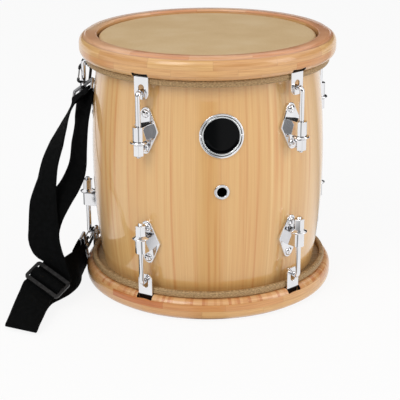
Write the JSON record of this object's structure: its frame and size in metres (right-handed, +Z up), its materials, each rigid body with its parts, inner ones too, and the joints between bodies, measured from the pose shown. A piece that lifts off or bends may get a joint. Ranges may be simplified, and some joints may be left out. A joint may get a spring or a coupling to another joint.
{
  "type": "tambora drum",
  "caption": "Short barrel drum on end with rawhide heads, rod-tensioned laminated hoops and claw plates, and a clipped-on webbing strap.",
  "frame": {"origin": "centre of the lower head's outer face", "axes": "+Z up the drum's axis to the upper head, -Y out of the badge and the air hole, -X towards the side that carries the strap"},
  "size_m": [0.44, 0.3553, 0.335],
  "materials": {
    "shell_wood": "clear gloss lacquer over pale staves",
    "hoop_wood": "satin lacquer over finger-jointed laminations",
    "rawhide": "dry translucent rawhide, lightly mottled",
    "hoop_steel": "plain steel rod, covered by the skin",
    "chrome": "polished",
    "vent_metal": "bright nickel",
    "badge_plate": "gloss black with bright rings",
    "black_metal": "black satin",
    "gate_wire": "drawn spring wire",
    "ring_metal": "polished",
    "slider_plastic": "satin moulded",
    "webbing": "woven nylon"
  },
  "bodies": {
    "shell_assembly": {"shell": "shell_wood", "upper_lug_1": "chrome", "upper_lug_2": "chrome", "upper_lug_3": "chrome", "upper_lug_4": "chrome", "upper_lug_5": "chrome", "lower_lug_1": "chrome", "lower_lug_2": "chrome", "lower_lug_3": "chrome", "lower_lug_4": "chrome", "lower_lug_5": "chrome", "vent_grommet": "vent_metal", "badge": "badge_plate", "badge_pin_left": "chrome", "badge_pin_right": "chrome"},
    "upper_end": {"upper_hoop": "hoop_wood", "upper_head": "rawhide", "upper_flesh_hoop": "hoop_steel", "upper_claw_1": "chrome", "upper_tension_hook_1": "chrome", "upper_claw_2": "chrome", "upper_tension_hook_2": "chrome", "upper_claw_3": "chrome", "upper_tension_hook_3": "chrome", "upper_claw_4": "chrome", "upper_tension_hook_4": "chrome", "upper_claw_5": "chrome", "upper_tension_hook_5": "chrome"},
    "lower_end": {"lower_hoop": "hoop_wood", "lower_head": "rawhide", "lower_flesh_hoop": "hoop_steel", "lower_claw_1": "chrome", "lower_tension_hook_1": "chrome", "lower_claw_2": "chrome", "lower_tension_hook_2": "chrome", "lower_claw_3": "chrome", "lower_tension_hook_3": "chrome", "lower_claw_4": "chrome", "lower_tension_hook_4": "chrome", "lower_claw_5": "chrome", "lower_tension_hook_5": "chrome"},
    "strap": {"strap_webbing": "webbing", "slider_buckle": "slider_plastic", "upper_strap_ring": "ring_metal", "lower_strap_ring": "ring_metal"},
    "upper_nut_1": {"upper_tuning_nut_1": "chrome"},
    "upper_nut_2": {"upper_tuning_nut_2": "chrome"},
    "upper_nut_3": {"upper_tuning_nut_3": "chrome"},
    "upper_nut_4": {"upper_tuning_nut_4": "chrome"},
    "upper_nut_5": {"upper_tuning_nut_5": "chrome"},
    "lower_nut_1": {"lower_tuning_nut_1": "chrome"},
    "lower_nut_2": {"lower_tuning_nut_2": "chrome"},
    "lower_nut_3": {"lower_tuning_nut_3": "chrome"},
    "lower_nut_4": {"lower_tuning_nut_4": "chrome"},
    "lower_nut_5": {"lower_tuning_nut_5": "chrome"},
    "upper_hook": {"upper_snap_hook": "black_metal"},
    "upper_gate": {"upper_snap_gate": "gate_wire"},
    "lower_hook": {"lower_snap_hook": "black_metal"},
    "lower_gate": {"lower_snap_gate": "gate_wire"}
  },
  "joints": [
    {"name": "upper_nut_1_turn", "type": "hinge", "parent": "shell_assembly", "child": "upper_nut_1", "pos_m": [-0.09875, -0.13592, 0.2187], "axis": [0, 0, 1], "range_deg": [-2160, 0]},
    {"name": "upper_nut_2_turn", "type": "hinge", "parent": "shell_assembly", "child": "upper_nut_2", "pos_m": [0.09875, -0.13592, 0.2187], "axis": [0, 0, 1], "range_deg": [-2160, 0]},
    {"name": "upper_nut_3_turn", "type": "hinge", "parent": "shell_assembly", "child": "upper_nut_3", "pos_m": [0.15978, 0.05192, 0.2187], "axis": [0, 0, 1], "range_deg": [-2160, 0]},
    {"name": "upper_nut_4_turn", "type": "hinge", "parent": "shell_assembly", "child": "upper_nut_4", "pos_m": [0, 0.168, 0.2187], "axis": [0, 0, 1], "range_deg": [-2160, 0]},
    {"name": "upper_nut_5_turn", "type": "hinge", "parent": "shell_assembly", "child": "upper_nut_5", "pos_m": [-0.15978, 0.05192, 0.2187], "axis": [0, 0, 1], "range_deg": [-2160, 0]},
    {"name": "upper_end_slide", "type": "slide", "parent": "shell_assembly", "child": "upper_end", "axis": [0, 0, 1], "range_m": [0, 0.006]},
    {"name": "lower_nut_1_turn", "type": "hinge", "parent": "shell_assembly", "child": "lower_nut_1", "pos_m": [-0.09875, -0.13592, 0.1083], "axis": [0, 0, 1], "range_deg": [0, 900]},
    {"name": "lower_nut_2_turn", "type": "hinge", "parent": "shell_assembly", "child": "lower_nut_2", "pos_m": [0.09875, -0.13592, 0.1083], "axis": [0, 0, 1], "range_deg": [0, 900]},
    {"name": "lower_nut_3_turn", "type": "hinge", "parent": "shell_assembly", "child": "lower_nut_3", "pos_m": [0.15978, 0.05192, 0.1083], "axis": [0, 0, 1], "range_deg": [0, 900]},
    {"name": "lower_nut_4_turn", "type": "hinge", "parent": "shell_assembly", "child": "lower_nut_4", "pos_m": [0, 0.168, 0.1083], "axis": [0, 0, 1], "range_deg": [0, 900]},
    {"name": "lower_nut_5_turn", "type": "hinge", "parent": "shell_assembly", "child": "lower_nut_5", "pos_m": [-0.15978, 0.05192, 0.1083], "axis": [0, 0, 1], "range_deg": [0, 900]},
    {"name": "lower_end_slide", "type": "slide", "parent": "shell_assembly", "child": "lower_end", "axis": [0, 0, -1], "range_m": [0, 0.0025]},
    {"name": "strap_swing", "type": "hinge", "parent": "shell_assembly", "child": "strap", "pos_m": [-0.15978, 0.05192, 0.15], "axis": [0, 0, 1], "range_deg": [-4, 1.5]},
    {"name": "upper_hook_swivel", "type": "hinge", "parent": "strap", "child": "upper_hook", "pos_m": [-0.15818, 0.05135, 0.26838], "axis": [0.1339, 0.6412, 0.7556], "range_deg": [-5, 10]},
    {"name": "upper_gate_hinge", "type": "hinge", "parent": "upper_hook", "child": "upper_gate", "pos_m": [-0.16721, 0.044, 0.26034], "axis": [0.0518, -0.766, 0.6408], "range_deg": [-6, 0], "stiffness_Nm_per_rad": 0.02, "springref_deg": 17.19},
    {"name": "lower_hook_swivel", "type": "hinge", "parent": "strap", "child": "lower_hook", "pos_m": [-0.15805, 0.04456, 0.03821], "axis": [0.385, 0.8309, 0.4019], "range_deg": [-2, 4]},
    {"name": "lower_gate_hinge", "type": "hinge", "parent": "lower_hook", "child": "lower_gate", "pos_m": [-0.16322, 0.03154, 0.04022], "axis": [0.92, -0.38, -0.0957], "range_deg": [-20, 0], "stiffness_Nm_per_rad": 0.02, "springref_deg": 17.19}
  ],
  "couplings": [
    {"joint": "upper_nut_1_turn", "follows": "upper_end_slide", "rad_per_m": -6283.2},
    {"joint": "upper_nut_2_turn", "follows": "upper_end_slide", "rad_per_m": -6283.2},
    {"joint": "upper_nut_3_turn", "follows": "upper_end_slide", "rad_per_m": -6283.2},
    {"joint": "upper_nut_4_turn", "follows": "upper_end_slide", "rad_per_m": -6283.2},
    {"joint": "upper_nut_5_turn", "follows": "upper_end_slide", "rad_per_m": -6283.2},
    {"joint": "lower_nut_1_turn", "follows": "lower_end_slide", "rad_per_m": 6283.2},
    {"joint": "lower_nut_2_turn", "follows": "lower_end_slide", "rad_per_m": 6283.2},
    {"joint": "lower_nut_3_turn", "follows": "lower_end_slide", "rad_per_m": 6283.2},
    {"joint": "lower_nut_4_turn", "follows": "lower_end_slide", "rad_per_m": 6283.2},
    {"joint": "lower_nut_5_turn", "follows": "lower_end_slide", "rad_per_m": 6283.2}
  ]
}
